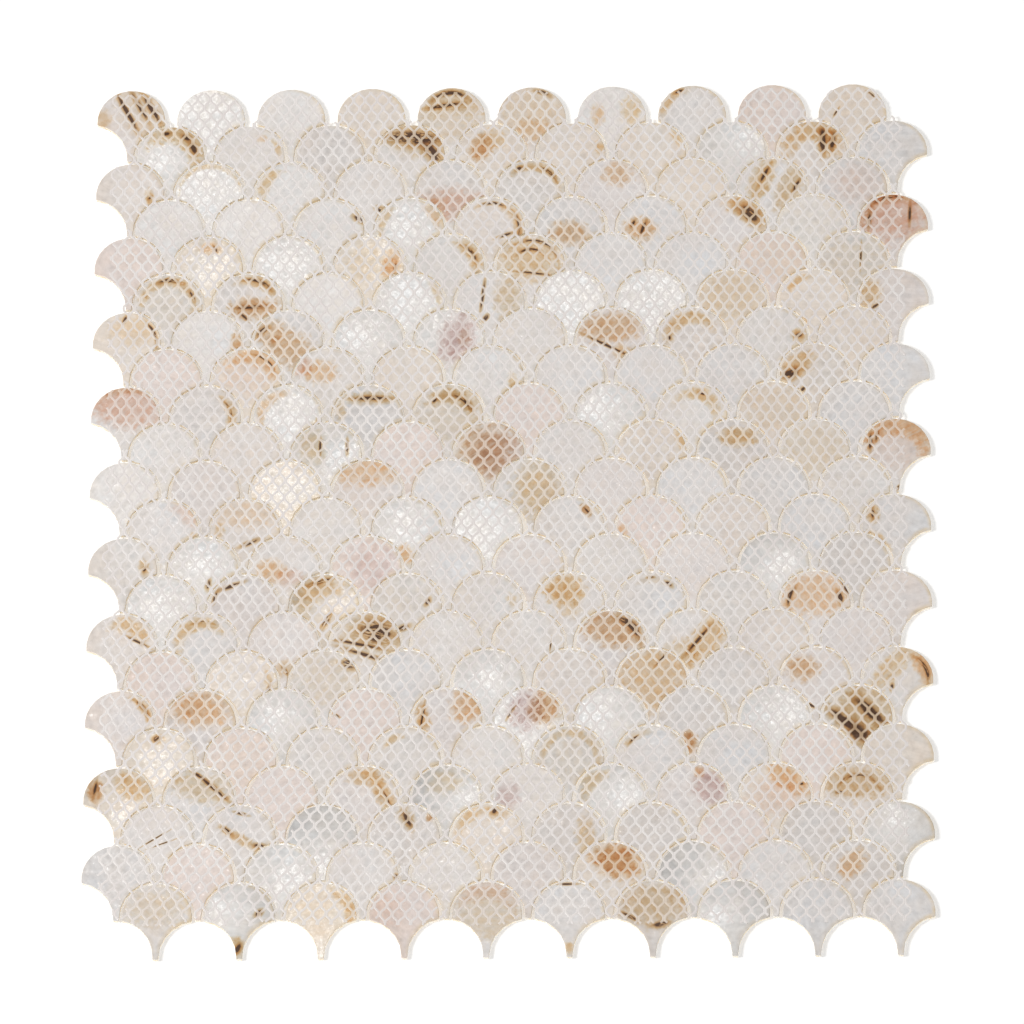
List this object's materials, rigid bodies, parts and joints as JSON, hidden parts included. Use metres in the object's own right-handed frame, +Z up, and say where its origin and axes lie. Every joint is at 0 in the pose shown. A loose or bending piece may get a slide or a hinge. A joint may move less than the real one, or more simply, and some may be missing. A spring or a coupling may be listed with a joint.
{
  "type": "fish scale mosaic tile sheet",
  "caption": "Flat sheet of mother-of-pearl chips shaped like fish scales, laid in shifted rows face down, with a thin net glued over their backs.",
  "frame": {"origin": "middle of the sheet's outline, on the faces of the chips, which lie on the floor", "axes": "+X along the rows, +Y from the stems of the chips to their domes, +Z up out of the net"},
  "size_m": [0.2794, 0.3095, 0.0024],
  "materials": {
    "mother_of_pearl": "ground, pearly",
    "net_thread": "white, glued"
  },
  "bodies": {
    "root": {"chip_row_01": "mother_of_pearl", "chip_row_02": "mother_of_pearl", "chip_row_03": "mother_of_pearl", "chip_row_04": "mother_of_pearl", "chip_row_05": "mother_of_pearl", "chip_row_06": "mother_of_pearl", "chip_row_07": "mother_of_pearl", "chip_row_08": "mother_of_pearl", "chip_row_09": "mother_of_pearl", "chip_row_10": "mother_of_pearl", "chip_row_11": "mother_of_pearl", "chip_row_12": "mother_of_pearl", "chip_row_13": "mother_of_pearl", "chip_row_14": "mother_of_pearl", "chip_row_15": "mother_of_pearl", "chip_row_16": "mother_of_pearl", "chip_row_17": "mother_of_pearl", "chip_row_18": "mother_of_pearl", "chip_row_19": "mother_of_pearl", "chip_row_20": "mother_of_pearl", "chip_row_21": "mother_of_pearl", "chip_row_22": "mother_of_pearl", "backing_net": "net_thread"}
  },
  "joints": []
}
